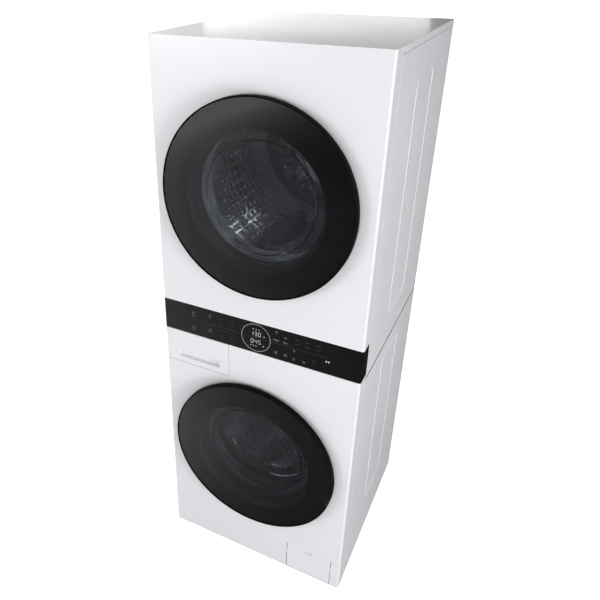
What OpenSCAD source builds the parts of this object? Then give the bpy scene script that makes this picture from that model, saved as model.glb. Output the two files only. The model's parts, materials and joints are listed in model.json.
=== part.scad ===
// Washer dryer stack: a front-loading washer with a heat-pump dryer above it in one tall cabinet.
// X is the width, Y runs from the doors to the back, Z is up. The origin is on the floor under
// the middle of the overall box. Depths are measured back from the face of the front panels.

/* [Cabinet] */
// Width of the cabinet
cab_w = 600; // [598:1:606]
// Height from the floor to the top cover
overall_h = 1655; // [1650:1:1665]
// Depth of the cabinet without the doors and the rear connectors
cab_d = 606; // [606:1:612]
// Depth of the rear connectors behind the cabinet
connector_d = 24; // [20:1:30]
// Clear height that the feet give under the front panel
foot_h = 10; // [9:1:12]
// Thickness of the steel sheets
sheet = 1.5; // [1.2:0.1:1.6]
// Depth of the side walls of the front panels
return_d = 50; // [48:1:51]
// Height of the side skirt of the top cover
skirt_h = 16.5; // [12:0.5:20]

/* [Doors] */
// Height of the washer door's centre
washer_z = 455; // [453:1:457]
// Height of the dryer door's centre
dryer_z = 1282; // [1280:1:1286]
// Outer radius of the door rims
door_r = 260; // [259:1:262]
// How far the door glass stands in front of the panel
door_proud = 30; // [30:1:32]
// Gap between the back of the door rims and the panel
door_gap = 10; // [9:1:10]
// Inner radius of the porthole neck
neck_r = 175; // [174:0.5:175]
// Radius of the openings in the front panels
porthole_r = 182; // [181:0.5:183]

/* [Control panel and drawer] */
// Height of the lower edge of the control panel
fascia_z = 828; // [827:1:829]
// Height of the control panel
fascia_h = 98.5; // [97:0.5:99]
// Width of the detergent drawer's front
drawer_w = 212; // [210:1:214]
// Height of the lower edge of the drawer's front
drawer_z = 715.8; // [715:0.2:716]

/* [Drums] */
// Outer radius of the washer drum
washer_drum_r = 240; // [236:1:242]
// Outer radius of the outer tub
tub_r = 262; // [260:1:264]
// Outer radius of the dryer drum
dryer_drum_r = 263.5; // [260:0.5:266]
// Height of the lifters in the washer drum
washer_lifter_h = 46; // [40:1:50]
// Height of the lifters in the dryer drum
dryer_lifter_h = 62; // [50:1:70]

/* [Drive] */
// Radius of the motor pulley that drives the dryer belt
pulley_r = 18; // [16:1:20]
// Radius of the rollers that carry the dryer drum
roller_r = 32; // [30:1:34]
// Number of stator poles in the washer's direct drive
stator_poles = 36; // [24:12:48]

/* [Hidden] */
$fn = 96;
half_w = cab_w / 2;
front_y = -(door_proud + cab_d + connector_d) / 2 + door_proud;
corner_r = 6;
seam = 0.8;
washer_top_z = 804;
dryer_base_z = 852;
shelf_z = 828;
cover_z = overall_h - skirt_h;
side_front_d = return_d + 2;
side_rear_d = cab_d - 2;
panel_split_z = fascia_z + fascia_h + seam;
drawer_x0 = -half_w + 0.7;
drawer_x1 = drawer_x0 + drawer_w;
drawer_z1 = fascia_z - 1.8;
drawer_front_d = 22;
recess_x0 = -255;
recess_x1 = -118;
foot_x = 255;
foot_ds = [85, 570];
damper_x = 170;
damper_ds = [200, 380];
spring_x = 200;
spring_d = 330;
spring_coil_r = 14;
pump_x = 195;
pump_z = 66;
pump_cover_x0 = 122;
pump_cover_x1 = 268.5;
pump_cover_z0 = 14;
pump_cover_z1 = 122.6;
pump_hinge_z = 19;
hinge_x = -244;
hinge_d = -20;
hinge_pin_r = 3;
running_gap = 0.05;
lug_z = 30;
lug_t = 6;
latch_x = 205;
glass_t = 4;
glass_r = door_r - 3.8;
neck_wall = 4;
neck_flare = 11;
neck_d = 30;
bowl_wall = 5;
shaft_r = 15;
bearing_r = 30;
roller_angle = 35;
roller_reach = dryer_drum_r + roller_r + 0.3;
roller_x = roller_reach * sin(roller_angle);
roller_z = dryer_z - roller_reach * cos(roller_angle);
axle_r = 5;
motor_x = -150;
motor_z = 915;
motor_shaft_r = 8;
belt_t = 3;
belt_gap = 0.7;
vent_boss_r = 108;
vent_in_r = 122;
vent_out_r = 166;
inlet_xs = [150, 210];
drain_x = -220;
connector_z = 770;
gland_x = -250;
gland_z = 690;
lifter_wall = 2.5;
field_ds = [225, 400];
line_w = 9;
line_press = 1.2;
door_zs = [washer_z, dryer_z];

// ---- shared shapes: x is the width, d the depth behind the front panel, z the height ----

module slab(x0, x1, d0, d1, z0, z1)
    translate([x0, front_y + d0, z0]) cube([x1 - x0, d1 - d0, z1 - z0]);

module rod_z(x, d, z0, z1, r)
    translate([x, front_y + d, z0]) cylinder(r = r, h = z1 - z0);

module rod_d(x, z, d0, d1, r)
    translate([x, front_y + d0, z]) rotate([-90, 0, 0]) cylinder(r = r, h = d1 - d0);

module ring_d(x, z, d0, d1, r_in, r_out)
    difference() {
        rod_d(x, z, d0, d1, r_out);
        rod_d(x, z, d0 - 1, d1 + 1, r_in);
    }

// A solid turned about a door-to-back axis, from [radius, depth] points
module turned(z, profile, x = 0)
    translate([x, front_y, z]) rotate([-90, 0, 0]) rotate_extrude() polygon(profile);

// A rectangle with round corners, in the plane of width and depth
module rounded(x0, x1, d0, d1, r)
    union() {
        translate([x0 + r, d0]) square([x1 - x0 - 2 * r, d1 - d0]);
        translate([x0, d0 + r]) square([x1 - x0, d1 - d0 - 2 * r]);
        for (x = [x0 + r, x1 - r], d = [d0 + r, d1 - r]) translate([x, d]) circle(r);
    }

// A front skin with round vertical edges and a side wall at each end
module wrapped_skin(z0, z1, depth, t)
    translate([0, front_y, z0]) linear_extrude(z1 - z0) difference() {
        intersection() {
            rounded(-half_w, half_w, 0, 3 * depth, corner_r);
            translate([-half_w, 0]) square([cab_w, depth]);
        }
        rounded(-half_w + t, half_w - t, t, 3 * depth, corner_r - t);
    }

// A pad with round corners, lying against a side wall
module side_pad(x0, x1, d0, d1, z0, z1, r)
    translate([x0, front_y, 0]) rotate([90, 0, 90]) linear_extrude(x1 - x0)
        rounded(d0, d1, z0, z1, r);

// ---- cabinet ----

module base_frame() color("gray") {
    z0 = foot_h + 2;
    difference() {
        union() {
            difference() {
                slab(-half_w + 4, half_w - 4, side_front_d + 4, side_rear_d - 4, z0, z0 + 40);
                slab(-half_w + 6, half_w - 6, side_front_d + 6, side_rear_d - 6, z0 + 2, z0 + 41);
            }
            for (x = [-foot_x, foot_x], d = foot_ds) rod_z(x, d, z0 + 2, z0 + 28, 13);
        }
        slab(-140, 140, 120, 540, z0 - 1, z0 + 3);
        slab(pump_x - 45, pump_x + 45, side_front_d, side_front_d + 8, z0 + 2, z0 + 41);
        for (x = [-foot_x, foot_x], d = foot_ds) rod_z(x, d, z0 - 1, z0 + 29, 5.3);
    }
}

module levelling_feet() color("dimgray")
    for (x = [-foot_x, foot_x], d = foot_ds) {
        rod_z(x, d, 0, foot_h - 3, 20);
        rod_z(x, d, foot_h - 3, foot_h + 2, 9, $fn = 6);
        rod_z(x, d, foot_h + 2, foot_h + 35, 5);
    }

// A closed line round the stiffened field of a side wall, `spread` wider on both its sides
module field_line(x0, x1, z0, z1, spread) difference() {
    a = spread;
    b = line_w - spread;
    side_pad(x0, x1, field_ds[0] - a, field_ds[1] + a, z0 - a, z1 + a, 30 + a);
    side_pad(x0 - 1, x1 + 1, field_ds[0] + b, field_ds[1] - b, z0 + b, z1 - b, 30 - b);
}

// A side wall at the left: a sheet with folded edges and one long field outlined by a pressed line
module side_wall(z0, z1, field_z0, field_z1) {
    inner = -half_w + sheet;
    difference() {
        union() {
            slab(-half_w, inner, side_front_d, side_rear_d, z0, z1);
            slab(inner, -half_w + 9, side_front_d, side_front_d + sheet, z0 + 44, z1 - 4);
            slab(inner, -half_w + 9, side_rear_d - sheet, side_rear_d, z0 + 44, z1 - 4);
            field_line(inner, inner + line_press, field_z0, field_z1, 3);
        }
        field_line(-half_w - 1, -half_w + line_press, field_z0, field_z1, 0);
    }
}

module lower_side() side_wall(foot_h + 2, washer_top_z, 180, 760);
module upper_side() side_wall(dryer_base_z, cover_z - seam, 905, 1565);
module lower_side_left() color("whitesmoke") lower_side();
module lower_side_right() color("whitesmoke") mirror([1, 0, 0]) lower_side();
module upper_side_left() color("whitesmoke") upper_side();
module upper_side_right() color("whitesmoke") mirror([1, 0, 0]) upper_side();

module divider_shelf() color("silver") {
    edge = half_w - 2.5;
    slab(-edge, edge, side_front_d + 3, side_rear_d - 3, shelf_z, shelf_z + 2);
    for (x = [-edge, edge - 2])
        slab(x, x + 2, side_front_d + 3, side_rear_d - 3, washer_top_z + 1, dryer_base_z - 1);
    slab(-edge, edge, side_front_d + 3, side_front_d + 5, shelf_z, dryer_base_z - 1);
    slab(-edge, edge, side_rear_d - 5, side_rear_d - 3, washer_top_z + 1, dryer_base_z - 1);
}

module top_cover() color("whitesmoke") {
    difference() {
        slab(-half_w, half_w, side_front_d, cab_d, cover_z, overall_h);
        slab(-half_w + sheet, half_w - sheet, side_front_d + sheet, cab_d - sheet,
            cover_z - 1, overall_h - sheet);
    }
    slab(-half_w + 2, half_w - 2, return_d - 3, side_front_d, overall_h - sheet, overall_h);
}

module lower_rear_cover() color("lightgray") difference() {
    slab(-half_w + 1, half_w - 1, side_rear_d + 0.3, cab_d - 0.2, foot_h + 2, fascia_z + 2);
    for (x = inlet_xs) rod_d(x, connector_z, side_rear_d, cab_d, 22);
    rod_d(drain_x, connector_z, side_rear_d, cab_d, 20);
    rod_d(gland_x, gland_z, side_rear_d, cab_d, 11.5);
    for (i = [0:9]) slab(-60, 60, side_rear_d, cab_d, 250 + 14 * i, 255 + 14 * i);
}

module upper_rear_cover() color("lightgray") difference() {
    slab(-half_w + 1, half_w - 1, side_rear_d + 0.3, cab_d - 0.2, fascia_z + 3, cover_z - seam);
    for (i = [0:11], x = [-230, 90]) slab(x, x + 140, side_rear_d, cab_d, 880 + 12 * i, 885 + 12 * i);
}

// The slots that the hinge lugs and the latch hook pass through
module door_slots(z) {
    for (s = [-1, 1]) slab(-231, -217, -1, 3, z + s * lug_z - 4.5, z + s * lug_z + 4.5);
    slab(latch_x - 9, latch_x + 14, -1, 3, z - 11, z + 11);
}

module lower_front_panel() color("white") difference() {
    union() {
        wrapped_skin(foot_h, fascia_z - seam, return_d, sheet);
        slab(-half_w + sheet, half_w - sheet, sheet, return_d, foot_h, foot_h + sheet);
        ring_d(0, washer_z, sheet - 0.5, 10, porthole_r, porthole_r + sheet);
    }
    rod_d(0, washer_z, -1, return_d, porthole_r);
    slab(-half_w - 1, drawer_x1 + 1, -1, drawer_front_d + 1, drawer_z - 1, fascia_z);
    slab(pump_cover_x0 - 1.8, pump_cover_x1 + 1.8, -1, 3, pump_cover_z0 - 1.4, pump_cover_z1 + 0.5);
    door_slots(washer_z);
}

module upper_front_panel() color("white") difference() {
    union() {
        wrapped_skin(panel_split_z, overall_h, return_d, sheet);
        slab(-half_w + sheet, half_w - sheet, sheet, return_d - 4, overall_h - sheet, overall_h);
        ring_d(0, dryer_z, sheet - 0.5, 10, porthole_r, porthole_r + sheet);
    }
    rod_d(0, dryer_z, -1, return_d, porthole_r);
    door_slots(dryer_z);
}

module control_fascia() color("black") wrapped_skin(fascia_z, fascia_z + fascia_h, return_d - 3, 3);

module control_board() color("darkgreen") {
    z0 = fascia_z + 12;
    slab(-235, 250, 9, 10.6, z0, z0 + 74);
    slab(-44, 44, 3.3, 9, z0 - 6, z0 + 80);
    for (x = [-200:50:200]) slab(x - 15, x + 15, 10.6, 20, z0 + 20, z0 + 50);
}

// ---- door hinges and latches ----

module hinge_brackets() color("silver") for (z = door_zs) difference() {
    union() {
        slab(-256, -205, sheet, 4.5, z - 55, z + 55);
        for (s = [-1, 1]) translate([0, front_y, z + s * lug_z - lug_t / 2]) linear_extrude(lug_t) {
            bar = 2.83;
            polygon([[hinge_x + bar, hinge_d - bar], [-220, -220 - hinge_x + hinge_d - 2 * bar],
                [-220, 4.5], [-229, 4.5], [-229, -229 - hinge_x + hinge_d + 2 * bar],
                [hinge_x - bar, hinge_d + bar]]);
            translate([hinge_x, hinge_d]) circle(5.5);
        }
    }
    rod_z(hinge_x, hinge_d, z - 40, z + 40, hinge_pin_r + running_gap);
    for (s = [-1, 1]) rod_d(-240, z + s * 48, 1, 5, 2.6);
}

module hinge_pins() color("silver") for (z = door_zs) {
    rod_z(hinge_x, hinge_d, z - 34.5, z + 33.3, hinge_pin_r);
    rod_z(hinge_x, hinge_d, z + 33.3, z + 35.5, 4.5);
}

module latch_catches() color("dimgray") for (z = door_zs) difference() {
    slab(latch_x - 15, latch_x + 21, sheet, 34, z - 18, z + 18);
    slab(latch_x - 9, latch_x + 14, 0, 30, z - 11, z + 11);
}

// ---- doors ----

module hinge_notches(z)
    for (s = [-1, 1])
        slab(-264, -212, -26, -3, z + s * lug_z - 4.2, z + s * lug_z + 4.2);

module door_rim(z) difference() {
    turned(z, [[neck_r + 10, -door_gap], [neck_r + 10, -door_gap - 3], [glass_r + 0.3, -door_gap - 3],
        [glass_r + 0.3, -door_proud + 0.8], [glass_r + 1.1, -door_proud], [door_r - 1.4, -door_proud],
        [door_r, -door_proud + 1.4], [door_r, -door_gap - 2], [door_r - 2, -door_gap]]);
    hinge_notches(z);
}

module door_glass(z)
    turned(z, [[0, -door_proud], [glass_r - 1.5, -door_proud], [glass_r, -door_proud + 1.5],
        [glass_r, -door_proud + glass_t], [0, -door_proud + glass_t]]);

// The moulded inner frame: a flat ring behind the rim and a neck that flares towards the glass
module door_frame(z) {
    neck_out = neck_r + neck_wall;
    mouth_r = neck_r + neck_flare;
    mouth_d = -door_proud + glass_t + 0.3;
    difference() {
        turned(z, [[mouth_r, mouth_d], [mouth_r + 4, mouth_d], [neck_r + 5, -door_gap],
            [237, -door_gap], [240, -door_gap + 3], [240, -4], [neck_out, -4],
            [neck_out, neck_d - 2], [neck_out - 2, neck_d], [neck_r, neck_d], [neck_r, -8]]);
        hinge_notches(z);
    }
}

// The glass bowl: a flange held in the neck, a short wall and a round-edged bottom
module door_bowl(z, flat_r, side_r, depth) {
    start = depth - (side_r - flat_r);
    outer = [for (a = [0:10:90]) [flat_r + (side_r - flat_r) * cos(a), start + (depth - start) * sin(a)]];
    inner = [for (a = [90:-10:0]) [flat_r + (side_r - flat_r - bowl_wall) * cos(a),
        start + (depth - start - bowl_wall) * sin(a)]];
    turned(z, concat([[side_r + 2 - bowl_wall, 8], [neck_r - 0.3, 8], [neck_r - 0.3, 13], [side_r + 2, 13]],
        outer, [[0, depth], [0, depth - bowl_wall]], inner));
}

module hinge_arm(z) difference() {
    union() {
        rod_z(hinge_x, hinge_d, z - 26.5, z + 26.5, 5.5);
        slab(hinge_x, -200, hinge_d - 2, hinge_d + 2, z - 24, z + 24);
        for (s = [-1, 1]) rod_d(-209, z + s * 14, hinge_d + 1, -door_gap - 3, 6);
    }
    rod_z(hinge_x, hinge_d, z - 30, z + 30, hinge_pin_r + running_gap);
}

module door_hook(z) {
    slab(latch_x - 5, latch_x + 1, -4, 24, z - 8, z + 8);
    slab(latch_x + 1, latch_x + 9, 18, 24, z - 8, z + 8);
}

module washer_door_rim() color("black") door_rim(washer_z);
module washer_door_glass() color([0.1, 0.1, 0.12, 0.5]) door_glass(washer_z);
module washer_door_frame() color("darkslategray") door_frame(washer_z);
module washer_door_bowl() color([0.7, 0.8, 0.85, 0.4]) door_bowl(washer_z, 100, 150, 112);
module washer_hinge_arm() color("silver") hinge_arm(washer_z);
module washer_door_hook() color("silver") door_hook(washer_z);
module dryer_door_rim() color("black") door_rim(dryer_z);
module dryer_door_glass() color([0.1, 0.1, 0.12, 0.5]) door_glass(dryer_z);
module dryer_door_frame() color("darkslategray") door_frame(dryer_z);
module dryer_door_bowl() color([0.7, 0.8, 0.85, 0.4]) door_bowl(dryer_z, 128, 150, 38);
module dryer_hinge_arm() color("silver") hinge_arm(dryer_z);
module dryer_door_hook() color("silver") door_hook(dryer_z);

// ---- washer ----

// Lugs on the tub's wall that the springs and dampers are hooked to
module tub_lug(x, d, z0, z1)
    difference() {
        slab(x - 20, x + 20, d - 10, d + 10, z0, z1);
        rod_d(0, washer_z, d - 11, d + 11, tub_r - 2);
    }

damper_top_z = washer_z - sqrt(pow(tub_r, 2) - pow(damper_x, 2)) - 20;
spring_foot_z = washer_z + sqrt(pow(tub_r, 2) - pow(spring_x, 2)) + 18;

module tub_front() color("lightgray") {
    turned(washer_z, [[187.5, 78], [tub_r, 78], [tub_r, 255], [tub_r - 5, 255],
        [tub_r - 5, 83], [187.5, 83]]);
    for (s = [-1, 1])
        tub_lug(s * damper_x, damper_ds[0], damper_top_z, damper_top_z + 45);
}

module tub_rear() color("lightgray") {
    difference() {
        turned(washer_z, [[tub_r - 5, 255.4], [tub_r, 255.4], [tub_r, 478], [42, 478], [42, 512],
            [29, 512], [29, 452], [42, 452], [42, 472], [tub_r - 5, 472]]);
        rod_d(0, washer_z, 450, 514, bearing_r + running_gap);
    }
    for (s = [-1, 1]) {
        tub_lug(s * damper_x, damper_ds[1], damper_top_z, damper_top_z + 45);
        tub_lug(s * spring_x, spring_d, spring_foot_z - 45, spring_foot_z);
    }
}

// A rubber bellows from the front panel to the tub, with the lip that meets the door's bowl
module door_gasket() color("dimgray")
    turned(washer_z, [[184.5, 10.5], [190, 10.5], [190, 40], [200, 48], [200, 56], [187, 63],
        [187, 77.5], [184, 77.5], [184, 61], [196, 54.5], [196, 50], [186, 42.5], [186, 38],
        [166, 36.5], [164, 34], [168, 32], [186, 34], [186, 14], [184.5, 12]]);

module counterweight() color("darkgray") difference() {
    ring_d(0, washer_z, 44, 77.6, 206, 256);
    slab(-260, 260, 40, 80, washer_z - 8, washer_z + 8);
}

module washer_drum() color("silver") {
    r = washer_drum_r;
    turned(washer_z, [[180, 104], [r, 104], [r, 440], [0, 440], [0, 438.5], [r - sheet, 438.5],
        [r - sheet, 105.5], [180, 105.5]]);
}

// A wedge with a flat tip, standing on a drum's wall and pointing at its axis
module paddle(wall_r, height, d0, d1, base_w, tip_w)
    translate([0, front_y + d1, 0]) rotate([90, 0, 0]) linear_extrude(d1 - d0)
        polygon([[-base_w / 2, wall_r + 2], [base_w / 2, wall_r + 2],
            [tip_w / 2, wall_r - height], [-tip_w / 2, wall_r - height]]);

// Three hollow paddles along a drum's wall, open on the side that lies against it
module lifters(z, wall_r, height, d0, d1, base_w, tip_w, first)
    for (k = [0:2]) intersection() {
        translate([0, 0, z]) rotate([0, first + 120 * k, 0]) difference() {
            paddle(wall_r, height, d0, d1, base_w, tip_w);
            paddle(wall_r, height - lifter_wall, d0 + lifter_wall, d1 - lifter_wall,
                base_w - 3 * lifter_wall, tip_w - 2 * lifter_wall);
        }
        rod_d(0, z, d0 - 1, d1 + 1, wall_r);
    }

module washer_lifters() color("lightgray")
    lifters(washer_z, washer_drum_r - sheet, washer_lifter_h, 130, 420, 74, 30, 0);

module drum_spider() color("silver") {
    rod_d(0, washer_z, 440, 451.5, 48);
    rod_d(0, washer_z, 440, 560, shaft_r);
    for (a = [30, 150, 270]) translate([0, 0, washer_z]) rotate([0, a, 0])
        slab(-16, 16, 440, 451.5, 0, washer_drum_r - 8);
}

module rotor() color("darkgray")
    turned(washer_z, [[shaft_r, 540], [28, 540], [28, 562], [130, 562], [130, 522], [135, 522],
        [135, 566], [0, 566], [0, 560], [shaft_r, 560]]);

module stator() color("peru") {
    ring_d(0, washer_z, 478, 556, 56, 70);
    for (k = [0:stator_poles - 1]) translate([0, 0, washer_z]) rotate([0, k * 360 / stator_poles, 0])
        slab(-3, 3, 526, 554, 68, 128.5);
}

module washer_bearings() color("silver")
    for (d = [458, 490]) ring_d(0, washer_z, d, d + 18, shaft_r + running_gap, bearing_r);

// One wire wound as a coil, with [x, y, z] centre-line points and a round section
function coil_point(t, r, pitch) = [r * cos(t), r * sin(t), pitch * t / 360];
function coil_ring(t, r, pitch, wire, sides) = [for (k = [0:sides - 1])
    let (a = 360 * k / sides)
        coil_point(t, r, pitch) + wire * [cos(a) * cos(t), cos(a) * sin(t), sin(a)]];

module coil(r, pitch, turns, wire) {
    sides = 6;
    step = 20;
    rings = turns * 360 / step;
    points = [for (i = [0:rings]) each coil_ring(i * step, r, pitch, wire, sides)];
    walls = [for (i = [0:rings - 1], k = [0:sides - 1])
        [i * sides + k, i * sides + (k + 1) % sides, (i + 1) * sides + (k + 1) % sides, (i + 1) * sides + k]];
    ends = [[for (k = [sides - 1:-1:0]) k], [for (k = [0:sides - 1]) rings * sides + k]];
    polyhedron(points, concat(walls, ends));
}

module tub_suspension() color("dimgray") {
    coil_z0 = spring_foot_z + 16;
    turns = 9;
    pitch = (shelf_z - 26 - coil_z0) / turns;
    for (s = [-1, 1]) {
        translate([s * spring_x, front_y + spring_d, coil_z0]) coil(spring_coil_r, pitch, turns, 2.2);
        rod_z(s * spring_x + spring_coil_r, spring_d, spring_foot_z, coil_z0 + 1, 2.4);
        rod_z(s * spring_x + spring_coil_r, spring_d, shelf_z - 27, shelf_z, 2.4);
        for (d = damper_ds) {
            rod_z(s * damper_x, d, foot_h + 4, 150, 13);
            rod_z(s * damper_x, d, 150, damper_top_z, 5);
        }
    }
}

module drain_pump() color("gainsboro") {
    ring_d(pump_x, pump_z, 30, 112, 34.5, 39);
    rod_d(pump_x, pump_z, 112, 118, 39);
    rod_d(pump_x, pump_z, 118, 170, 27);
    slab(pump_x - 30, pump_x + 30, 60, 110, foot_h + 4, pump_z - 36);
}

module pump_filter() color("lightgray") {
    rod_d(pump_x, pump_z, 20, 29, 33);
    slab(pump_x - 28, pump_x + 28, 9, 20, pump_z - 6, pump_z + 6);
    ring_d(pump_x, pump_z, 29, 100, 29, 33.4);
}

module pump_cover() color("white") {
    slab(pump_cover_x0, pump_cover_x1, 0, 3, pump_cover_z0, pump_cover_z1);
    for (x = [pump_cover_x0 + 6, pump_cover_x1 - 14])
        slab(x, x + 8, 3, 6, pump_hinge_z - 3, pump_hinge_z + 3);
    for (x = [pump_cover_x0 + 30, pump_cover_x1 - 36])
        slab(x, x + 6, 3, 8, pump_cover_z1 - 12, pump_cover_z1 - 8);
}

// ---- detergent drawer ----

module dispenser_housing() color("gainsboro") difference() {
    slab(-290, -97, 26, 300, 722, 826);
    slab(-287.5, -99.5, 25, 297.5, 724.5, 823.5);
}

module detergent_tray() color("lightgray") difference() {
    slab(-284, -103, drawer_front_d, 272, 728, 804);
    slab(-281.5, -204, drawer_front_d + 3, 269.5, 731, 805);
    slab(-201.5, -105.5, drawer_front_d + 3, 150, 731, 805);
    slab(-201.5, -105.5, 152.5, 269.5, 731, 805);
}

// The drawer's front, with a finger recess that runs up behind a lip
module drawer_front() color("white") difference() {
    intersection() {
        slab(drawer_x0, drawer_x1, 0, drawer_front_d, drawer_z, drawer_z1);
        translate([0, front_y, drawer_z]) linear_extrude(drawer_z1 - drawer_z)
            rounded(drawer_x0, half_w, 0, 60, corner_r);
    }
    slab(recess_x0, recess_x1, -1, 13, 735, 759);
    slab(recess_x0, recess_x1, 6, 13, 735, 772);
}

// ---- rear connectors ----

module water_connectors() color("gainsboro") {
    for (x = concat(inlet_xs, drain_x)) slab(x - 20, x + 20, 560, 600, connector_z - 20, connector_z + 26);
    for (x = inlet_xs) rod_d(x, connector_z, 600, cab_d + connector_d, 13.2);
    rod_d(drain_x, connector_z, 600, cab_d + connector_d, 11);
}

module cord_gland() color("dimgray") difference() {
    union() {
        rod_d(gland_x, gland_z, 592, 620, 11);
        rod_d(gland_x, gland_z, cab_d - 0.2, cab_d + 4, 15, $fn = 6);
    }
    rod_d(gland_x, gland_z, 590, 622, 4.2);
}

// ---- dryer ----

module dryer_drum() color("silver") {
    r = dryer_drum_r;
    turned(dryer_z, [[192, 96], [r, 96], [r, 498], [206, 498], [206, 496.5], [r - sheet, 496.5],
        [r - sheet, 97.5], [192, 97.5]]);
    for (d = [440, 456, 472]) ring_d(0, dryer_z, d, d + 6, r - sheet - 3, r - sheet / 2);
}

module dryer_lifters() color("dimgray")
    lifters(dryer_z, dryer_drum_r - sheet, dryer_lifter_h, 130, 430, 86, 26, 195);

// The front wall of the drying chamber, with its mouth and the pocket of the lint filter
module dryer_front_bulkhead() color("silver") difference() {
    union() {
        slab(-288, 288, 40, 42, 1000, 1560);
        rod_d(0, dryer_z, 11, 93, 187);
        ring_d(0, dryer_z, 86, 93, 186, 191);
        slab(-104, 104, 46, 76, 985, 1135);
    }
    rod_d(0, dryer_z, 10, 94, 183);
    slab(-101, 101, 49, 73, 980, 1140);
}

module lint_filter() color("lightsteelblue") {
    difference() {
        slab(-98, 98, 53, 69, 992, 1106);
        slab(-90, 90, 52, 60, 1000, 1094);
        slab(-90, 90, 61, 70, 1000, 1094);
    }
    slab(-30, 30, 56, 66, 1106, 1112);
}

// The fixed rear wall, dished forward to close the drum, with the axles of the rollers
module dryer_rear_bulkhead() color("dimgray") {
    difference() {
        union() {
            slab(-288, 288, 508, 510, 1000, 1570);
            rod_d(0, dryer_z, 492, 509, 202);
        }
        rod_d(0, dryer_z, 494, 511, 200);
        rod_d(0, dryer_z, 490, 511, vent_out_r + 1);
    }
    for (s = [-1, 1]) rod_d(s * roller_x, roller_z, 472, 508, axle_r);
}

// A round steel grille: a slotted ring around a raised centre
module vent_grille() color("silver") difference() {
    turned(dryer_z, [[0, 458], [vent_boss_r, 458], [vent_in_r, 484], [vent_out_r - 4, 484],
        [vent_out_r, 490], [vent_out_r + 8, 490], [vent_out_r + 8, 492], [vent_out_r - 2, 492],
        [vent_out_r - 5, 486], [vent_in_r - 2, 486], [vent_boss_r - 2, 460], [0, 460]]);
    for (k = [0:35]) translate([0, 0, dryer_z]) rotate([0, 10 * k, 0])
        slab(-3, 3, 482, 488, vent_in_r + 3, vent_out_r - 9);
}

module drive_motor() color("gray") difference() {
    union() {
        rod_d(motor_x, motor_z, 318, 440, 52);
        slab(motor_x - 40, motor_x + 40, 330, 430, shelf_z + 2, motor_z - 20);
    }
    rod_d(motor_x, motor_z, 300, 450, motor_shaft_r + running_gap);
}

// The motor's shaft with the belt pulley at one end and the fan wheel at the other
module motor_shaft() color("silver") {
    rod_d(motor_x, motor_z, 288, 486, motor_shaft_r);
    rod_d(motor_x, motor_z, 292, 312, pulley_r);
    rod_d(motor_x, motor_z, 458, 462, 50);
    for (k = [0:11]) translate([motor_x, 0, motor_z]) rotate([0, 30 * k, 0])
        slab(-1, 1, 461, 486, 24, 49);
}

module drive_belt() color("black") {
    inner_big = dryer_drum_r + belt_gap;
    inner_small = pulley_r + belt_gap;
    translate([0, front_y + 308, 0]) rotate([90, 0, 0]) linear_extrude(12) difference() {
        hull() {
            translate([0, dryer_z]) circle(inner_big + belt_t);
            translate([motor_x, motor_z]) circle(inner_small + belt_t);
        }
        hull() {
            translate([0, dryer_z]) circle(inner_big);
            translate([motor_x, motor_z]) circle(inner_small);
        }
    }
}

module drum_roller(x) ring_d(x, roller_z, 476, 496, axle_r + running_gap, roller_r);
module roller_left() color("gray") drum_roller(-roller_x);
module roller_right() color("gray") drum_roller(roller_x);

// Heat exchangers with their fins, and the compressor
module heat_pump() color("slategray") {
    slab(-70, 240, 90, 280, dryer_base_z, dryer_base_z + 6);
    for (d = [96:12:276]) slab(-60, 230, d, d + 3, dryer_base_z + 6, 980);
    for (z = [885, 945]) slab(-66, 236, 94, 278, z, z + 8);
    rod_z(180, 410, shelf_z + 2, shelf_z + 20, 70);
    rod_z(180, 410, shelf_z + 20, 985, 60);
}

base_frame();
levelling_feet();
lower_side_left();
lower_side_right();
upper_side_left();
upper_side_right();
divider_shelf();
top_cover();
lower_rear_cover();
upper_rear_cover();
lower_front_panel();
upper_front_panel();
control_fascia();
control_board();
hinge_brackets();
hinge_pins();
latch_catches();
washer_door_rim();
washer_door_glass();
washer_door_frame();
washer_door_bowl();
washer_hinge_arm();
washer_door_hook();
dryer_door_rim();
dryer_door_glass();
dryer_door_frame();
dryer_door_bowl();
dryer_hinge_arm();
dryer_door_hook();
tub_front();
tub_rear();
door_gasket();
counterweight();
washer_drum();
washer_lifters();
drum_spider();
rotor();
stator();
washer_bearings();
tub_suspension();
drain_pump();
pump_filter();
pump_cover();
dispenser_housing();
detergent_tray();
drawer_front();
water_connectors();
cord_gland();
dryer_drum();
dryer_lifters();
dryer_front_bulkhead();
dryer_rear_bulkhead();
vent_grille();
drive_motor();
motor_shaft();
drive_belt();
roller_left();
roller_right();
lint_filter();
heat_pump();
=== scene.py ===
import json
import math
import bmesh
import bpy
from mathutils import Matrix, Vector

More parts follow.
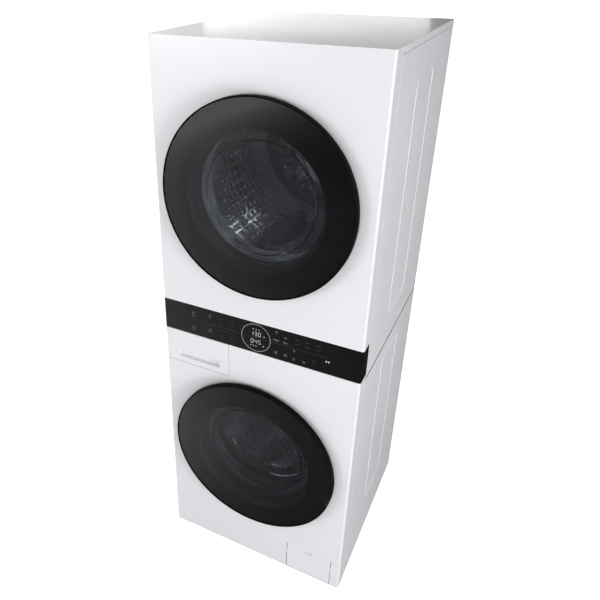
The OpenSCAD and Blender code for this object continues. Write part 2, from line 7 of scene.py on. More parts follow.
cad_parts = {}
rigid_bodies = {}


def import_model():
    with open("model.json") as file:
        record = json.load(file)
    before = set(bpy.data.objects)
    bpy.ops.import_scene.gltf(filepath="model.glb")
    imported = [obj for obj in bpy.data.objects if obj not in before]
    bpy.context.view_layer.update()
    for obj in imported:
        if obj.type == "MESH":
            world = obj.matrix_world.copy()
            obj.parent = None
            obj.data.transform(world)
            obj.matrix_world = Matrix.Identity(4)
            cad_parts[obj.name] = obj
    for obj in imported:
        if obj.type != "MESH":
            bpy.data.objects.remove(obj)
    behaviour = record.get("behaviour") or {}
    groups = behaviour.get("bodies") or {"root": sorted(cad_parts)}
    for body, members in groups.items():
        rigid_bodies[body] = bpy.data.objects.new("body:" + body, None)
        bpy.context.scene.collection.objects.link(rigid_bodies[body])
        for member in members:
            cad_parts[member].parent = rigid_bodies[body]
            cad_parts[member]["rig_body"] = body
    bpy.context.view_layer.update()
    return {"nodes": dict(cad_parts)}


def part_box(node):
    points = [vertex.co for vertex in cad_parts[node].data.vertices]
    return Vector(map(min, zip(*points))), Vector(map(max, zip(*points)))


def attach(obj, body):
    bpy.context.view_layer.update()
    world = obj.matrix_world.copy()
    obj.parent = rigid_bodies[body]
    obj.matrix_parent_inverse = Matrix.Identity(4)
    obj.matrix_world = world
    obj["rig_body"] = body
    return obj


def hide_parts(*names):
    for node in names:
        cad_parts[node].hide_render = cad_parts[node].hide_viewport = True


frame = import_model()
nodes = frame["nodes"]
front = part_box("upper_front_panel")[0].y
MM = 0.001


# ---- The studio ----
# A plain pale floor, soft light from the front left, and a tall soft glow at the left that the
# dark glass mirrors. The camera stands high at the front right, with the lens slid a little.

studio = bpy.context.scene
studio.view_settings.view_transform = "Standard"

lens = bpy.data.cameras.new("studio_lens")
lens.lens = 37.03
lens.sensor_width = 36.0
lens.shift_x = 0.1167
lens.shift_y = -0.0667
camera = bpy.data.objects.new("studio_camera", lens)
stands_at = (0.60438, -1.57701, 1.84543)
turn_left, look_down, tip = 28.174, 27.220, -0.487
camera.matrix_world = (
    Matrix.Translation(stands_at)
    @ Matrix.Rotation(math.radians(turn_left), 4, "Z")
    @ Matrix.Rotation(math.radians(90 - look_down), 4, "X")
    @ Matrix.Rotation(math.radians(tip), 4, "Z")
)
studio.collection.objects.link(camera)
studio.camera = camera


def softbox(name, place, aim, width, power):
    """A square soft light at a place, turned to face a point."""
    lamp = bpy.data.lights.new(name, "AREA")
    lamp.size = width
    lamp.energy = power
    stand = bpy.data.objects.new(name, lamp)
    way = Vector(aim) - Vector(place)
    stand.matrix_world = Matrix.Translation(place) @ way.to_track_quat("-Z", "Y").to_matrix().to_4x4()
    stand.visible_camera = False
    studio.collection.objects.link(stand)


middle = (0, 0, 0.9)
softbox("key_softbox", (-2.0, -3.2, 1.8), middle, 1.5, 33)
softbox("front_softbox", (0.4, -4.0, 1.3), middle, 1.6, 19)
softbox("side_softbox", (2.6, -1.5, 1.0), middle, 1.0, 42)
softbox("back_softbox", (-1.5, 4.0, 1.2), middle, 2.0, 34)
softbox("upper_drum_lamp", (0.06, -0.16, 1.40), (-0.08, 0.12, 1.05), 0.05, 0.34)
softbox("lower_drum_lamp", (0.03, -0.17, 0.57), (-0.06, 0.12, 0.25), 0.02, 0.03)

surround = bpy.data.worlds.new("studio_surround")
surround.use_nodes = True
surround.cycles.sampling_method = "NONE"
studio.world = surround
sky = surround.node_tree
sky.nodes.clear()


def reckon(operation, *values):
    """One sum of the surround's brightness, from numbers or the results of other sums."""
    sum_node = sky.nodes.new("ShaderNodeMath")
    sum_node.operation = operation
    for socket, value in zip(sum_node.inputs, values):
        if isinstance(value, float):
            socket.default_value = value
        else:
            sky.links.new(value, socket)
    return sum_node.outputs["Value"]


look = sky.nodes.new("ShaderNodeTexCoord")
axes = sky.nodes.new("ShaderNodeSeparateXYZ")
sky.links.new(look.outputs["Generated"], axes.inputs["Vector"])
across, upward = axes.outputs["X"], axes.outputs["Z"]
rays = sky.nodes.new("ShaderNodeLightPath")

# The mirrored glow is e to the power of a cubic in the downward part of the direction, less a
# slope across that brings its bright side to the left. Above the horizon it fades fast.
deepest, shallowest = -0.8, -0.17
cubic, square, linear, level = 84.9, 131.2, 60.8, 3.93
fade_above = -9.0
slope_across, slope_by_depth = -10.1, -3.74
glow_least, glow_most = 0.03, 2.3
low = reckon("MINIMUM", reckon("MAXIMUM", upward, deepest), shallowest)
bend = reckon("MULTIPLY_ADD", low, cubic, square)
height_part = reckon("MULTIPLY_ADD", low, reckon("MULTIPLY_ADD", low, bend, linear), level)
height_part = reckon("MULTIPLY_ADD", reckon("MAXIMUM", upward, 0.0), fade_above, height_part)
side_part = reckon("MULTIPLY_ADD", low, slope_by_depth, slope_across)
glow = reckon("EXPONENT", reckon("MULTIPLY_ADD", across, side_part, height_part))
glow = reckon("MAXIMUM", reckon("MINIMUM", glow, glow_most), glow_least)
mirrored = sky.nodes.new("ShaderNodeBackground")
sky.links.new(glow, mirrored.inputs["Strength"])

# The soft fill that matt surfaces receive is a little stronger from the right and from below.
fill_level, fill_from_right, fill_from_above = 0.6, 0.22, -0.18
fill = sky.nodes.new("ShaderNodeBackground")
fill.inputs["Color"].default_value = (0.97, 0.98, 1.0, 1)
soft = reckon("MULTIPLY_ADD", upward, fill_from_above, fill_level)
soft = reckon("MULTIPLY_ADD", across, fill_from_right, soft)
sky.links.new(reckon("MAXIMUM", soft, rays.outputs["Is Camera Ray"]), fill.inputs["Strength"])
either = sky.nodes.new("ShaderNodeMixShader")
scattered = reckon("MAXIMUM", rays.outputs["Is Diffuse Ray"], rays.outputs["Is Camera Ray"])
sky.links.new(scattered, either.inputs["Fac"])
sky.links.new(mirrored.outputs["Background"], either.inputs[1])
sky.links.new(fill.outputs["Background"], either.inputs[2])
world_out = sky.nodes.new("ShaderNodeOutputWorld")
sky.links.new(either.outputs["Shader"], world_out.inputs["Surface"])

floor_r = 60
floor_shape = bmesh.new()
bmesh.ops.create_circle(floor_shape, cap_ends=True, segments=64, radius=floor_r)
floor_mesh = bpy.data.meshes.new("studio_floor")
floor_shape.to_mesh(floor_mesh)
floor_shape.free()
floor = bpy.data.objects.new("studio_floor", floor_mesh)
studio.collection.objects.link(floor)
floor.visible_glossy = False
pale = bpy.data.materials.new("pale_floor")
pale.use_nodes = True
pale_shader = pale.node_tree.nodes["Principled BSDF"]
pale_shader.inputs["Base Color"].default_value = (0.62, 0.62, 0.63, 1)
pale_shader.inputs["Roughness"].default_value = 0.9
pale_shader.inputs["Emission Color"].default_value = (1, 1, 1, 1)
seen = pale.node_tree.nodes.new("ShaderNodeLightPath")
pale.node_tree.links.new(seen.outputs["Is Camera Ray"], pale_shader.inputs["Emission Strength"])
floor_mesh.materials.append(pale)


# ---- Base frame and levelling feet ----
# A folded tray of zinc-coated steel with four threaded sockets in its corners. Each foot is a
# hex-necked screw on a round rubber pad, turned in from below.


def finish(name, light, dark, patch=0.06, rough=(0.4, 0.5), metal=0.0, grain=0.0, grain_size=0.001,
           stretch=(1, 1, 1), coat=0.0, gloss=0.5):
    """Two near tones in soft patches, a gloss that varies a little, and a fine grain."""
    material = bpy.data.materials.new(name)
    material.use_nodes = True
    tree = material.node_tree
    shader = tree.nodes["Principled BSDF"]
    shader.inputs["Metallic"].default_value = metal
    shader.inputs["Specular IOR Level"].default_value = gloss
    shader.inputs["Coat Weight"].default_value = coat
    shader.inputs["Coat Roughness"].default_value = 0.12
    place = tree.nodes.new("ShaderNodeTexCoord")
    along = tree.nodes.new("ShaderNodeMapping")
    along.inputs["Scale"].default_value = stretch
    tree.links.new(place.outputs["Object"], along.inputs["Vector"])
    patches = tree.nodes.new("ShaderNodeTexNoise")
    patches.inputs["Scale"].default_value = 1 / patch
    patches.inputs["Detail"].default_value = 5
    tree.links.new(along.outputs["Vector"], patches.inputs["Vector"])
    tones = tree.nodes.new("ShaderNodeMix")
    tones.data_type = "RGBA"
    tones.inputs[6].default_value = (*dark, 1)
    tones.inputs[7].default_value = (*light, 1)
    tree.links.new(patches.outputs["Fac"], tones.inputs[0])
    tree.links.new(tones.outputs[2], shader.inputs["Base Color"])
    wear = tree.nodes.new("ShaderNodeMapRange")
    wear.inputs["From Min"].default_value = 0.3
    wear.inputs["From Max"].default_value = 0.7
    wear.inputs["To Min"].default_value = rough[0]
    wear.inputs["To Max"].default_value = rough[1]
    tree.links.new(patches.outputs["Fac"], wear.inputs["Value"])
    tree.links.new(wear.outputs["Result"], shader.inputs["Roughness"])
    if grain:
        grit = tree.nodes.new("ShaderNodeTexNoise")
        grit.inputs["Scale"].default_value = 1 / grain_size
        grit.inputs["Detail"].default_value = 2
        tree.links.new(along.outputs["Vector"], grit.inputs["Vector"])
        bump = tree.nodes.new("ShaderNodeBump")
        bump.inputs["Strength"].default_value = grain
        bump.inputs["Distance"].default_value = grain_size
        tree.links.new(grit.outputs["Fac"], bump.inputs["Height"])
        tree.links.new(bump.outputs["Normal"], shader.inputs["Normal"])
    return material


def made(name, shape, material, body, *stands_for):
    """A finished mesh as a named piece with its finish, fixed to the body that it moves with."""
    mesh = bpy.data.meshes.new(name)
    shape.to_mesh(mesh)
    shape.free()
    mesh.materials.append(material)
    mesh.shade_smooth()
    mesh.set_sharp_from_angle(angle=math.radians(34))
    piece = bpy.data.objects.new(name, mesh)
    studio.collection.objects.link(piece)
    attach(piece, body)
    if stands_for:
        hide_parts(*stands_for)
    return piece


def designed(node):
    """A copy of a designed part, with its triangles joined into whole faces."""
    shape = bmesh.new()
    shape.from_mesh(nodes[node].data)
    bmesh.ops.remove_doubles(shape, verts=shape.verts[:], dist=1e-5)
    bmesh.ops.dissolve_limit(shape, angle_limit=math.radians(0.5), verts=shape.verts[:], edges=shape.edges[:])
    return shape


def formed(node, material, edge=0.6, steps=2):
    """A part as it leaves the press or the mould: the designed shape with its sharp edges rolled."""
    shape = designed(node)
    if edge:
        sharp = [e for e in shape.edges if len(e.link_faces) == 2 and e.calc_face_angle() > math.radians(40)]
        bmesh.ops.bevel(shape, geom=sharp, offset=edge * MM, offset_type="OFFSET", segments=steps,
                        profile=0.5, affect="EDGES", material=-1, clamp_overlap=True)
    piece = made(node + "_formed", shape, material, nodes[node]["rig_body"], node)
    evened = piece.modifiers.new("evened_faces", "WEIGHTED_NORMAL")
    evened.keep_sharp = True
    return piece


def coated(material, *names):
    """Gives a finish to designed parts that keep their own mesh."""
    for name in names:
        nodes[name].data.materials.clear()
        nodes[name].data.materials.append(material)


zinc = finish("zinc_steel", (0.62, 0.64, 0.66), (0.47, 0.49, 0.51), patch=0.018, rough=(0.32, 0.5),
              metal=0.55, grain=0.08, grain_size=0.0015)
formed("base_frame", zinc, 0.4, 1)
foot_rubber = finish("foot_rubber", (0.055, 0.055, 0.058), (0.035, 0.035, 0.037), patch=0.01,
                     rough=(0.6, 0.75), grain=0.3, grain_size=0.0006)
formed("levelling_feet", foot_rubber, 0.8)


# ---- Cabinet walls, shelf, top and back ----
# Painted steel sheet. Each side wall has folded edges and a line pressed round its field, and the
# top cover is a shallow lid. The zinc-coated rear covers are held by screws along their edges.

enamel = finish("white_enamel", (0.83, 0.835, 0.85), (0.805, 0.81, 0.825), patch=0.25, rough=(0.3, 0.36),
                grain=0.05, grain_size=0.0012, coat=0.25)
for side in ("lower_side_left", "lower_side_right", "upper_side_left", "upper_side_right"):
    formed(side, enamel, 0.5)
formed("top_cover", enamel, 0.6, 3)
formed("divider_shelf", enamel, 0.4, 1)
formed("lower_rear_cover", zinc, 0.3, 1)
formed("upper_rear_cover", zinc, 0.3, 1)


def screw(shape, x, y, z):
    """A pan-head screw driven in from behind, with a round socket."""
    radius, thick, socket_deep, sides = 4.0 * MM, 1.8 * MM, 1.1 * MM, 18
    head = bmesh.ops.create_cone(
        shape, cap_ends=True, segments=sides, radius1=radius, radius2=0.75 * radius, depth=thick,
        matrix=Matrix.Translation((x, y + thick / 2, z)) @ Matrix.Rotation(-math.pi / 2, 4, "X"))
    outer = max({f for v in head["verts"] for f in v.link_faces if len(f.verts) == sides},
                key=lambda f: f.calc_center_median().y)
    bmesh.ops.inset_individual(shape, faces=[outer], thickness=0.35 * radius)
    bmesh.ops.translate(shape, verts=outer.verts[:], vec=(0, -socket_deep, 0))


from_side, from_end = 0.012, 0.02
up_the_side, between_sides = 5, 5
rear_screws = bmesh.new()
for cover in ("lower_rear_cover", "upper_rear_cover"):
    low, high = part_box(cover)
    tall = high.z - low.z - 2 * from_end
    for side in (low.x + from_side, high.x - from_side):
        for step in range(up_the_side + 1):
            screw(rear_screws, side, high.y, low.z + from_end + step * tall / up_the_side)
    for step in range(1, between_sides):
        for height in (low.z + from_end, high.z - from_end):
            screw(rear_screws, low.x + step * (high.x - low.x) / between_sides, high.y, height)
made("rear_cover_screws", rear_screws, zinc, "root")


# ---- Front panels ----
# Each is one painted steel sheet wrapped round the cabinet's front corners, with a turned-in
# flange round its porthole. The lower one is cut away for the drawer and the pump cover.

formed("lower_front_panel", enamel, 0.5)
formed("upper_front_panel", enamel, 0.5)


# ---- Tub, suspension and direct drive ----
# Two moulded tub halves hang on springs over dampers, with a cast weight on the front. Behind
# them a ring of coils turns a flat rotor, which drives the drum through a cast three-arm spider.

light_plastic = finish("light_plastic", (0.62, 0.63, 0.65), (0.57, 0.58, 0.60), patch=0.04,
                       rough=(0.42, 0.52), grain=0.15, grain_size=0.0008)
grey_plastic = finish("grey_plastic", (0.105, 0.107, 0.112), (0.075, 0.077, 0.081), patch=0.03,
                      rough=(0.4, 0.5), grain=0.2, grain_size=0.0007)
concrete = finish("concrete", (0.42, 0.41, 0.39), (0.27, 0.265, 0.25), patch=0.012, rough=(0.8, 0.95),
                  grain=0.6, grain_size=0.002)
casting = finish("aluminium_casting", (0.66, 0.67, 0.68), (0.52, 0.53, 0.54), patch=0.008,
                 rough=(0.42, 0.6), metal=1.0, grain=0.35, grain_size=0.0012)
steel = finish("machine_steel", (0.56, 0.57, 0.58), (0.40, 0.41, 0.42), patch=0.006, rough=(0.28, 0.42),
               metal=1.0, grain=0.1, grain_size=0.0006)
formed("tub_front", light_plastic, 1.0)
formed("tub_rear", light_plastic, 1.0)
formed("counterweight", concrete, 2.0)
formed("drum_spider", casting, 1.5)
formed("rotor", steel, 0.6)
coated(steel, "washer_bearings", "tub_suspension", "stator")


# ---- Washer drum ----
# Stainless sheet, rolled and seamed, with rows of small pierced and dished holes. Three hollow
# plastic paddles are clipped to its wall.

stainless = finish("stainless_drum", (0.72, 0.73, 0.74), (0.60, 0.61, 0.62), patch=0.05, rough=(0.1, 0.18),
                   metal=1.0, grain=0.04, grain_size=0.001, stretch=(1, 6, 1))


def stamped_wall(shape, height, radius, d0, d1, rows, columns, rings, pierced):
    """Rows of stamped cells from front to back, repeated round the drum. A cell is a flat frame
    with rings inside, each given by its radius and its lift towards the drum's middle."""
    half = math.pi / columns
    wide = radius * math.sin(half) * MM
    long = (d1 - d0) / rows / 2 * MM
    chord = -radius * math.cos(half) * MM
    start = Matrix.Translation((0, front + d0 * MM + long, height))
    frame_ring = bmesh.ops.create_circle(shape, segments=8, radius=1)["verts"]
    for v in frame_ring:
        v.co.x = wide * round(v.co.x)
        v.co.y = long * round(v.co.y)
        v.co.z = chord if v.co.x else -radius * MM
    bmesh.ops.transform(shape, matrix=start, verts=frame_ring)
    last = frame_ring
    for ring_r, lift in rings:
        ring = bmesh.ops.create_circle(
            shape, segments=8, radius=ring_r * MM,
            matrix=start @ Matrix.Translation((0, 0, chord + lift * MM)))["verts"]
        ends = {*last, *ring}
        open_edges = [e for e in shape.edges if len(e.link_faces) < 2 and ends.issuperset(e.verts)]
        bmesh.ops.bridge_loops(shape, edges=open_edges)
        last = ring
    if not pierced:
        shape.faces.new(last)
    one = shape.verts[:] + shape.edges[:] + shape.faces[:]
    for row in range(1, rows):
        copy = bmesh.ops.duplicate(shape, geom=one)["geom"]
        bmesh.ops.translate(shape, verts=[g for g in copy if isinstance(g, bmesh.types.BMVert)],
                            vec=(0, 2 * long * row, 0))
    bmesh.ops.spin(shape, geom=shape.verts[:] + shape.edges[:] + shape.faces[:], cent=(0, 0, height),
                   axis=(0, 1, 0), angle=2 * math.pi * (columns - 1) / columns, steps=columns - 1,
                   use_duplicate=True)
    bmesh.ops.remove_doubles(shape, verts=shape.verts[:], dist=2e-5)


def spun(shape, outline, height, sides=192, across=0.0):
    """Adds a wall turned about a front-to-back axis, from (radius, depth) points in millimetres."""
    points = [shape.verts.new((across + r * MM, front + d * MM, height)) for r, d in outline]
    edges = [shape.edges.new(pair) for pair in zip(points, points[1:])]
    bmesh.ops.spin(shape, geom=points + edges, cent=(across, 0, height), axis=(0, 1, 0),
                   angle=2 * math.pi, steps=sides, use_merge=True)
    bmesh.ops.remove_doubles(shape, verts=shape.verts[:], dist=1e-5)
    bmesh.ops.recalc_face_normals(shape, faces=shape.faces[:])


washer_z = (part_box("washer_drum")[0].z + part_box("washer_drum")[1].z) / 2
washer_r, holes_from, holes_to = 238.5, 124, 430
washer_shell = bmesh.new()
stamped_wall(washer_shell, washer_z, washer_r, holes_from, holes_to, rows=17, columns=96,
             rings=[(4.4, 0), (2.6, -1.0)], pierced=True)
washer_mouth = [(180, 108), (178, 106), (180, 104), (232, 104), (washer_r, 110), (washer_r, holes_from)]
spun(washer_shell, washer_mouth, washer_z)
washer_back = [(washer_r, holes_to), (237.5, 436), (230, 439), (198, 439), (192, 436), (120, 434),
               (112, 438), (70, 438), (62, 434), (20, 434), (0, 434)]
spun(washer_shell, washer_back, washer_z)
made("washer_drum_shell", washer_shell, stainless, "washer_drum", "washer_drum")
formed("washer_lifters", light_plastic, 7.0, 4)


# ---- Door gasket ----
# A grey rubber bellows clamped between the front panel and the tub, with a folded lip that
# the glass bowl presses on.

rubber = finish("rubber", (0.20, 0.205, 0.215), (0.155, 0.16, 0.17), patch=0.02, rough=(0.5, 0.65),
                grain=0.12, grain_size=0.0009)
formed("door_gasket", rubber, 0)


# ---- Drain pump, its filter and its cover ----
# A moulded pump body with a filter that screws out from the front. A white cover hides it, hinged
# at its lower edge, with a small printed mark.

white_plastic = finish("white_plastic", (0.83, 0.835, 0.85), (0.81, 0.815, 0.83), patch=0.2,
                       rough=(0.34, 0.4), grain=0.05, grain_size=0.001, coat=0.15)
formed("drain_pump", grey_plastic, 0.8)
formed("pump_filter", light_plastic, 1.0)
formed("pump_cover", white_plastic, 0.7)


# ---- Detergent drawer ----
# The housing and the three-part tray are moulded in pale plastic. The white drawer front has a
# deep finger recess behind a lip.

formed("dispenser_housing", light_plastic, 0.8)
formed("detergent_tray", light_plastic, 0.7)
formed("drawer_front", white_plastic, 0.9, 3)


# ---- Drying chamber ----
# Zinc-coated bulkheads close the dryer drum at both ends; the rear one is coloured dark grey in place of its
# zinc, painted shade for the shade deep in the drum. The rear one carries two rollers and a bright slotted
# grille that the warm air comes through. The lint filter drops into the front one.

formed("dryer_front_bulkhead", zinc, 0.6)
# Painted shade: the rear bulkhead's dark grey stands for the shade at the back of the drum, not for its zinc
# coat.
painted_shade_bulkhead = finish("painted_shade_bulkhead", (0.12, 0.122, 0.128), (0.09, 0.092, 0.097), patch=0.05,
                       rough=(0.45, 0.55), grain=0.1, grain_size=0.001)
formed("dryer_rear_bulkhead", painted_shade_bulkhead, 0.5)
bright_steel = finish("bright_steel", (0.80, 0.81, 0.82), (0.70, 0.71, 0.72), patch=0.03,
                      rough=(0.1, 0.18), metal=1.0, grain=0.03, grain_size=0.0008)
formed("vent_grille", bright_steel, 0.5)
formed("lint_filter", light_plastic, 0.6)
formed("roller_left", rubber, 1.5)
formed("roller_right", rubber, 1.5)
formed("motor_shaft", steel, 0.3, 1)
formed("drive_motor", steel, 2.0)
coated(rubber, "drive_belt")
exchanger = finish("heat_pump_metal", (0.60, 0.62, 0.64), (0.45, 0.47, 0.49), patch=0.01, rough=(0.3, 0.45),
                   metal=1.0, grain=0.15, grain_size=0.001)
coated(exchanger, "heat_pump")


# ---- Dryer drum ----
# Stainless sheet with a pattern of raised studs, three rolled beads near its back and a plain
# rear rim. Three dark plastic paddles lift the clothes.

dryer_z = (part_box("dryer_drum")[0].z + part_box("dryer_drum")[1].z) / 2
dryer_r, studs_from, studs_to = 262, 112, 432
dryer_sides = 180
dryer_shell = bmesh.new()
stamped_wall(dryer_shell, dryer_z, dryer_r, studs_from, studs_to, rows=12, columns=60,
             rings=[(10.8, 0), (8.4, 2.6), (3.8, 4.2)], pierced=False)
dryer_mouth = [(192, 100), (190, 98), (192, 96), (256, 96), (dryer_r, 102), (dryer_r, studs_from)]
spun(dryer_shell, dryer_mouth, dryer_z, dryer_sides)
beads = [(dryer_r, studs_to)]
for bead in (443, 459, 475):
    beads += [(dryer_r, bead - 5), (260.4, bead - 3), (259, bead), (260.4, bead + 3), (dryer_r, bead + 5)]
spun(dryer_shell, beads + [(dryer_r, 490)], dryer_z, dryer_sides)
made("dryer_drum_shell", dryer_shell, stainless, "dryer_drum", "dryer_drum")
satin_steel = finish("satin_steel", (0.34, 0.35, 0.37), (0.30, 0.31, 0.33), patch=0.06, rough=(0.4, 0.5),
                     metal=0.4, grain=0.05, grain_size=0.001)
rear_rim = bmesh.new()
spun(rear_rim, [(dryer_r, 489), (258, 496), (212, 497), (207, 496), (206, 493)], dryer_z, dryer_sides)
made("dryer_drum_rim", rear_rim, satin_steel, "dryer_drum")
formed("dryer_lifters", grey_plastic, 9.0, 4)


# ---- Doors ----
# Two like doors. A black rim holds a slightly domed dark glass, printed black round its border.
# Behind it a moulded ring carries a thick clear bowl that fills the porthole.

rim_black = finish("black_rim", (0.005, 0.005, 0.0055), (0.0035, 0.0035, 0.004), patch=0.03,
                   rough=(0.5, 0.6), grain=0.05, grain_size=0.0006, gloss=0.03)
dark_plastic = finish("dark_plastic", (0.022, 0.023, 0.025), (0.015, 0.016, 0.017), patch=0.03,
                      rough=(0.4, 0.5), grain=0.1, grain_size=0.0006)
print_black = finish("border_print", (0.003, 0.003, 0.0035), (0.002, 0.002, 0.0025), patch=0.02,
                     rough=(0.5, 0.6), gloss=0.0)


def glazed(name, tint, shade):
    """Solid glass that lets lamps shine through it."""
    material = bpy.data.materials.new(name)
    material.use_nodes = True
    tree = material.node_tree
    glass = tree.nodes["Principled BSDF"]
    glass.inputs["Base Color"].default_value = (*tint, 1)
    glass.inputs["Transmission Weight"].default_value = 1.0
    glass.inputs["IOR"].default_value = 1.46
    glass.inputs["Roughness"].default_value = 0.0
    clear = tree.nodes.new("ShaderNodeBsdfTransparent")
    clear.inputs["Color"].default_value = (*shade, 1)
    rays = tree.nodes.new("ShaderNodeLightPath")
    choice = tree.nodes.new("ShaderNodeMixShader")
    tree.links.new(rays.outputs["Is Shadow Ray"], choice.inputs["Fac"])
    tree.links.new(glass.outputs["BSDF"], choice.inputs[1])
    tree.links.new(clear.outputs["BSDF"], choice.inputs[2])
    tree.links.new(choice.outputs["Shader"], tree.nodes["Material Output"].inputs["Surface"])
    return material


tinted_glass = glazed("tinted_glass", (0.32, 0.33, 0.355), (0.52, 0.53, 0.55))
clear_glass = glazed("clear_glass", (0.93, 0.95, 0.96), (0.95, 0.96, 0.97))
window_r, glass_r, print_r = 187, 256.0, 255.5
crown, dome, rolled_edge, glass_back = -31.0, 3.8, 0.4, -26.0
print_front, print_back = -25.95, -25.8


def build_door(which, height):
    """Rim, printed and domed glass, inner ring and bowl of one door."""
    body = which + "_door"
    formed(which + "_door_rim", rim_black, 0.5, 3)
    formed(which + "_door_frame", dark_plastic, 0.7)
    dome_line = [(glass_r * step / 12, crown + dome * (step / 12) ** 2) for step in range(13)]
    rim_line = [(glass_r, glass_back - rolled_edge), (glass_r - rolled_edge, glass_back), (0, glass_back)]
    glass = bmesh.new()
    spun(glass, dome_line + rim_line, height)
    made(which + "_glass_panel", glass, tinted_glass, body, which + "_door_glass")
    border = bmesh.new()
    spun(border, [(window_r, print_front), (print_r, print_front), (print_r, print_back),
                  (window_r, print_back), (window_r, print_front)], height)
    made(which + "_glass_border", border, print_black, body)
    formed(which + "_door_bowl", clear_glass, 0)


build_door("washer", washer_z)
build_door("dryer", dryer_z)


# ---- Hinges and latches ----
# Steel plates behind the front panels carry cranked lugs, and a pin runs through them and the
# door's arm. On the other side a hook enters a plastic catch.

formed("hinge_brackets", steel, 0.5)
formed("hinge_pins", steel, 0.4)
formed("washer_hinge_arm", steel, 0.4)
formed("dryer_hinge_arm", steel, 0.4)
formed("washer_door_hook", steel, 0.6)
formed("dryer_door_hook", steel, 0.6)
formed("latch_catches", grey_plastic, 0.6)


# ---- Control panel ----
# A black touch panel across the front, over a circuit board. The ring, the two clocks and the key
# marks are thin light print.

panel_black = finish("black_glass_panel", (0.0085, 0.0085, 0.0095), (0.006, 0.006, 0.007), patch=0.08,
                     rough=(0.14, 0.2), grain=0.02, grain_size=0.002, gloss=0.3)
formed("control_fascia", panel_black, 0.6, 3)
board = finish("circuit_board", (0.02, 0.11, 0.05), (0.015, 0.08, 0.035), patch=0.01, rough=(0.35, 0.5),
               grain=0.2, grain_size=0.001)
coated(board, "control_board")


def lit(name, colour, strength):
    """Pale print that is faintly lit from behind."""
    material = finish(name, colour, tuple(0.9 * c for c in colour), patch=0.01, rough=(0.4, 0.5))
    shader = material.node_tree.nodes["Principled BSDF"]
    shader.inputs["Emission Color"].default_value = (*colour, 1)
    shader.inputs["Emission Strength"].default_value = strength
    return material


bright_print = lit("bright_print", (0.50, 0.51, 0.52), 0.12)
soft_print = lit("soft_print", (0.17, 0.175, 0.18), 0.02)
faint_print = lit("faint_print", (0.034, 0.035, 0.037), 0.0)
print_t = 0.12


def bar(shape, x, z, width, height, lean=0.0):
    """One printed stroke on the panel's face, centred at x and z in millimetres."""
    place = Matrix.Translation((x * MM, front - print_t / 2 * MM, z * MM))
    size = Matrix.Diagonal((width * MM, print_t * MM, height * MM, 1))
    bmesh.ops.create_cube(shape, size=1, matrix=place @ Matrix.Rotation(math.radians(lean), 4, "Y") @ size)


def loop(shape, x, z, radius, stroke, sweep=360, first=0):
    """A printed ring, or an arc of one when the sweep is less than a full turn."""
    steps = max(8, round(radius * 2.2))
    closed = sweep == 360
    start = math.radians(first)
    corners = []
    for reach in (radius - stroke, radius):
        for depth in (0, -print_t):
            corners.append(shape.verts.new((
                (x + reach * math.sin(start)) * MM, front + depth * MM, (z + reach * math.cos(start)) * MM)))
    face = shape.faces.new((corners[0], corners[1], corners[3], corners[2]))
    bmesh.ops.spin(shape, geom=[face, *face.edges, *face.verts], cent=(x * MM, 0, z * MM), axis=(0, 1, 0),
                   angle=math.radians(sweep), steps=steps, use_merge=closed)
    if closed:
        shape.faces.remove(face)


SEGMENTS = {"0": "abcdef", "1": "bc", "3": "abcdg", "4": "bcfg", "5": "acdfg"}
STROKES = {"a": (0, 1, 0), "b": (0.5, 0.5, 1), "c": (0.5, -0.5, 1), "d": (0, -1, 0), "e": (-0.5, -0.5, 1),
           "f": (-0.5, 0.5, 1), "g": (0, 0, 0)}


def clock(shape, x, z, figures, tall=12.6):
    """Figures made of straight strokes, with two dots between the hours and the minutes."""
    wide, stroke, gap, dot = tall * 0.5, 1.5, 1, 1.6
    for place, figure in figures:
        for letter in SEGMENTS[figure]:
            across, up, upright = STROKES[letter]
            size = (stroke, tall / 2 - gap) if upright else (wide - gap, stroke)
            bar(shape, x + place + across * wide, z + up * tall / 2, *size)
    for up in (-2.2, 2.2):
        bar(shape, x - 7.4, z + up, dot, dot)


panel_z, ring_r, clock_up = 878, 44, 12.5
display = bmesh.new()
loop(display, -1, panel_z, ring_r, 1.0)
clock(display, 0, panel_z + clock_up, [(-13, "1"), (-1, "3"), (10, "0")])
clock(display, 0, panel_z - clock_up, [(-13, "0"), (-1, "4"), (10, "5")])
for step in range(3):
    bar(display, -9 + 9 * step, panel_z + 27, 3.2, 2.4)
    bar(display, -16 + 8 * step, panel_z - 27, 3.2, 2.4)
bar(display, 24, panel_z + 9, 3.5, 3)
bar(display, 22, panel_z - 22, 3.5, 3)
made("clock_display", display, bright_print, "root")

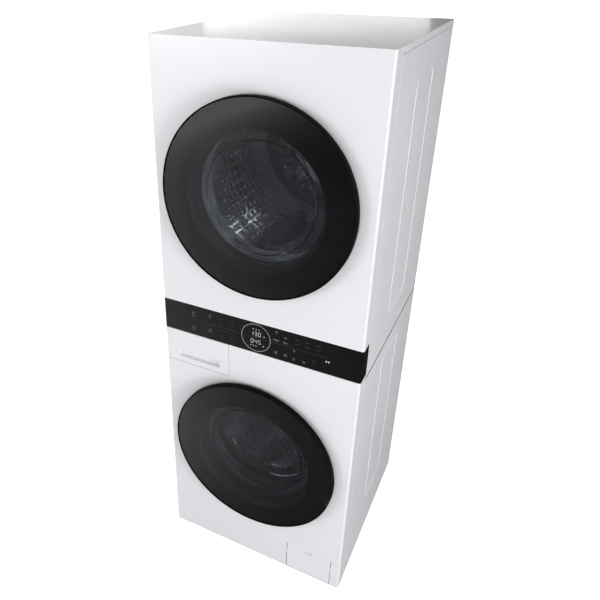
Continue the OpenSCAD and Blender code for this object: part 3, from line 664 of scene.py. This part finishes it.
power_x, timer_x = -200, -146
keys = bmesh.new()
for key_z in (901, 852):
    loop(keys, power_x, key_z, 4.6, 1.0, sweep=290, first=35)
    bar(keys, power_x, key_z + 3.6, 1.0, 4.4)
    bar(keys, power_x, key_z - 9.5, 9, 1.2)
for key_z in (909, 861):
    loop(keys, timer_x, key_z, 4.2, 0.9, sweep=270)
    bar(keys, timer_x + 2, key_z + 1, 5.0, 1.0, lean=35)
    bar(keys, timer_x, key_z - 8, 11, 1.2)
for key_x, key_z, key_w in ((60, 916, 8), (87, 905, 8), (60, 890, 18), (86, 889, 13), (60, 848, 9),
                            (88, 848, 10), (113, 872, 7), (113, 845, 7), (142, 844, 9)):
    bar(keys, key_x, key_z, key_w, 2.0)
    bar(keys, key_x, key_z - 3.6, key_w * 0.6, 1.2)
for key_x in (60, 88):
    bar(keys, key_x, 852, 8, 1.4)
made("key_marks", keys, soft_print, "root")

play = bmesh.new()
for play_x in (204, 211):
    bar(play, play_x, 867, 4, 5, lean=45)
made("start_mark", play, bright_print, "root")

faint = bmesh.new()
bar(faint, -129, 879, 154, 0.9)
bar(faint, 130, 879, 160, 0.9)
bar(faint, -1, 878, 64, 0.7)
for key_x in (-110, -75):
    for key_z in (906, 892, 866, 850):
        bar(faint, key_x, key_z, 12, 1.4)
for key_x in (120, 150, 180):
    for key_z in (908, 894):
        bar(faint, key_x, key_z, 13, 1.6)
for key_z in (850, 858):
    bar(faint, 170, key_z, 11, 1.4)
made("dividing_lines", faint, faint_print, "root")

grey_print = lit("grey_print", (0.10, 0.10, 0.105), 0.0)
cover_mark = bmesh.new()
for mark_x, mark_w in ((184, 3.0), (189, 3.0), (200, 14.0)):
    bar(cover_mark, mark_x, 112, mark_w, 2.2)
made("pump_cover_mark", cover_mark, grey_print, "pump_cover")


# ---- Rear connectors ----
# Two threaded inlets and a plain drain spigot in moulded plastic, and a hexagonal gland that the
# power cord would pass through.


def threaded(shape, x, z, bore, crest, d0, d1, pitch):
    """A hose thread: a bored spigot with rolled rings along it."""
    root, lead_in, runout = crest - 1.4, 1, 6
    line = [(bore, d0), (bore, d1), (crest - 1.6, d1)]
    for turn in range(int((d1 - d0 - runout) / pitch)):
        top = d1 - lead_in - turn * pitch
        line += [(root, top), (crest, top - 0.35 * pitch), (root, top - 0.7 * pitch)]
    line += [(root, d0), (bore, d0)]
    spun(shape, line, z * MM, 48, x * MM)


connectors = designed("water_connectors")
for inlet_x in (150, 210):
    threaded(connectors, inlet_x, 770, bore=11.6, crest=13.1, d0=602, d1=630, pitch=2.3)
made("connector_bodies", connectors, light_plastic, "root", "water_connectors")
formed("cord_gland", grey_plastic, 0.4)
